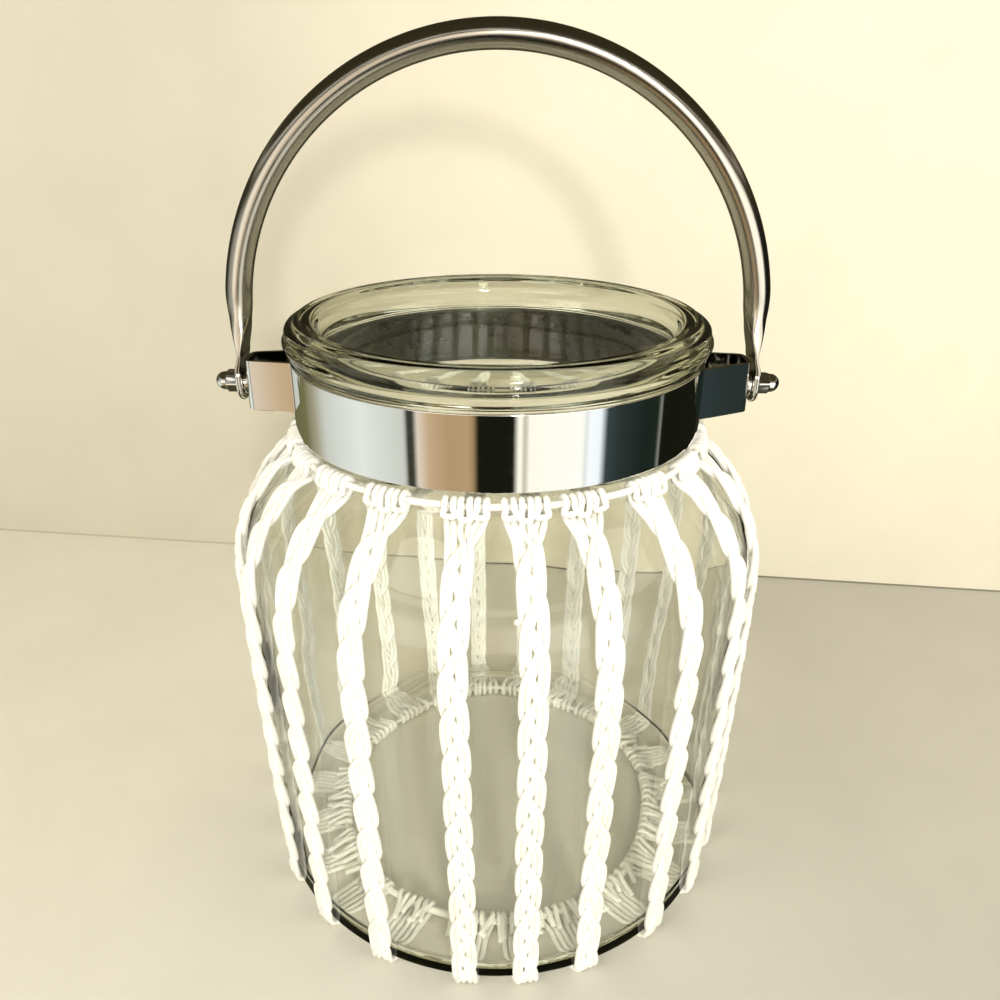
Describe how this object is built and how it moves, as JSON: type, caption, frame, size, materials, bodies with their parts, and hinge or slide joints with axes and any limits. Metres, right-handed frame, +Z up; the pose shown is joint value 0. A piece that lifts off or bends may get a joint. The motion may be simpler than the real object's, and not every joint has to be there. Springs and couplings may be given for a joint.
{
  "type": "hanging lantern",
  "caption": "Round clear glass jar lantern in a plaited cord sling, with a steel neck band and a swinging steel tube handle for carrying or hanging.",
  "frame": {"origin": "on the floor, under the centre of the jar", "axes": "+Z up, X along the handle's pivot, front towards -Y"},
  "size_m": [0.2236, 0.2179, 0.3433],
  "materials": {
    "clear_glass": "clear, thick rolled rim",
    "polished_steel": "mirror polished",
    "brushed_steel": "polished with fine lengthwise brushing",
    "white_cord": "smooth off-white macrame cord, plaited"
  },
  "bodies": {
    "lantern": {"glass_jar": "clear_glass", "collar_band": "polished_steel", "bracket_left": "brushed_steel", "bracket_right": "brushed_steel", "pivot_bolt_left": "polished_steel", "pivot_bolt_right": "polished_steel", "spacer_washer_left": "polished_steel", "spacer_washer_right": "polished_steel", "acorn_nut_left": "polished_steel", "acorn_nut_right": "polished_steel", "neck_ring_cord": "white_cord", "base_ring_cord": "white_cord", "braid_01": "white_cord", "braid_02": "white_cord", "braid_03": "white_cord", "braid_04": "white_cord", "braid_05": "white_cord", "braid_06": "white_cord", "braid_07": "white_cord", "braid_08": "white_cord", "braid_09": "white_cord", "braid_10": "white_cord", "braid_11": "white_cord", "braid_12": "white_cord", "braid_13": "white_cord", "braid_14": "white_cord", "braid_15": "white_cord", "braid_16": "white_cord", "braid_17": "white_cord", "braid_18": "white_cord", "braid_19": "white_cord", "braid_20": "white_cord", "braid_21": "white_cord", "braid_22": "white_cord"},
    "bail": {"bail_handle": "brushed_steel"}
  },
  "joints": [
    {"name": "bail_swing", "type": "hinge", "parent": "lantern", "child": "bail", "pos_m": [0, 0, 0.2165], "axis": [1, 0, 0], "range_deg": [-113, 113]}
  ]
}
